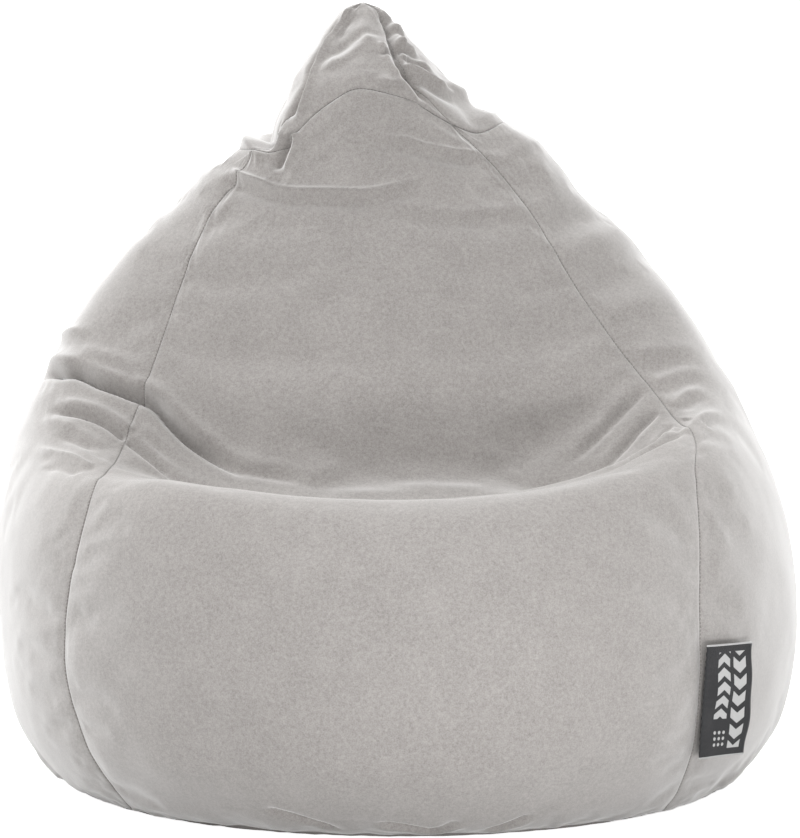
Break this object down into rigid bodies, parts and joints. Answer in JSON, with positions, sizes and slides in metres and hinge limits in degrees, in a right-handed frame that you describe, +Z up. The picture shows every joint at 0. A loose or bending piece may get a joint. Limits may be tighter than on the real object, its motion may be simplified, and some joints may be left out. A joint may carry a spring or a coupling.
{
  "type": "bean bag chair",
  "caption": "Pear-shaped bean bag chair: sewn fabric panels around a loose bead-filled liner, a hollowed seat in front, a gathered peak on top, a zip down the back and a woven side label.",
  "frame": {"origin": "centre of the round base, on the floor", "axes": "+Z up, the seat faces -Y, +X to the viewer's right from the front"},
  "size_m": [0.7977, 0.8387, 0.768],
  "materials": {
    "cover_cloth": "short-napped microfibre, matt with a soft sheen",
    "base_cloth": "plain woven, matt",
    "zip_tape": "woven tape, matt",
    "zip_coil": "nylon coil, matt",
    "zip_metal": "satin",
    "label_weave": "woven, matt",
    "liner_cloth": "thin spun cloth, matt",
    "liner_tape": "woven tape, matt",
    "liner_coil": "nylon, matt",
    "beads": "expanded beads, matt"
  },
  "bodies": {
    "bag": {"front_panel": "cover_cloth", "left_side_panel": "cover_cloth", "right_side_panel": "cover_cloth", "back_left_panel": "cover_cloth", "back_right_panel": "cover_cloth", "base_panel": "base_cloth", "tip_front_gore": "cover_cloth", "tip_left_gore": "cover_cloth", "tip_right_gore": "cover_cloth", "tip_back_gore": "cover_cloth", "zip_tape_left": "zip_tape", "zip_tape_right": "zip_tape", "zip_coil_left": "zip_coil", "zip_coil_right": "zip_coil", "zip_top_stop": "zip_coil", "zip_bottom_stop": "zip_coil", "inner_liner": "liner_cloth", "liner_zip_tape": "liner_tape", "liner_zip_coil": "liner_coil", "bead_filling": "beads"},
    "zip_slider": {"zip_slider": "zip_metal"},
    "zip_pull": {"zip_pull": "zip_metal"},
    "side_label": {"side_label": "label_weave"},
    "liner_slider": {"liner_zip_slider": "liner_coil"}
  },
  "joints": [
    {"name": "zip_slide", "type": "hinge", "parent": "bag", "child": "zip_slider", "pos_m": [0, 0.13, 0.245], "axis": [-1, 0, 0], "range_deg": [0, 68]},
    {"name": "pull_hinge", "type": "hinge", "parent": "zip_slider", "child": "zip_pull", "pos_m": [0, 0.35223, 0.44935], "axis": [1, 0, 0], "range_deg": [0, 150]},
    {"name": "label_flap", "type": "hinge", "parent": "bag", "child": "side_label", "pos_m": [0.28643, -0.28434, 0.1168], "axis": [-0.0526, 0.1418, -0.9885], "range_deg": [0, 120], "stiffness_Nm_per_rad": 0.002},
    {"name": "liner_zip_slide", "type": "hinge", "parent": "bag", "child": "liner_slider", "pos_m": [0, 0.13, 0.245], "axis": [-1, 0, 0], "range_deg": [0, 68]}
  ]
}
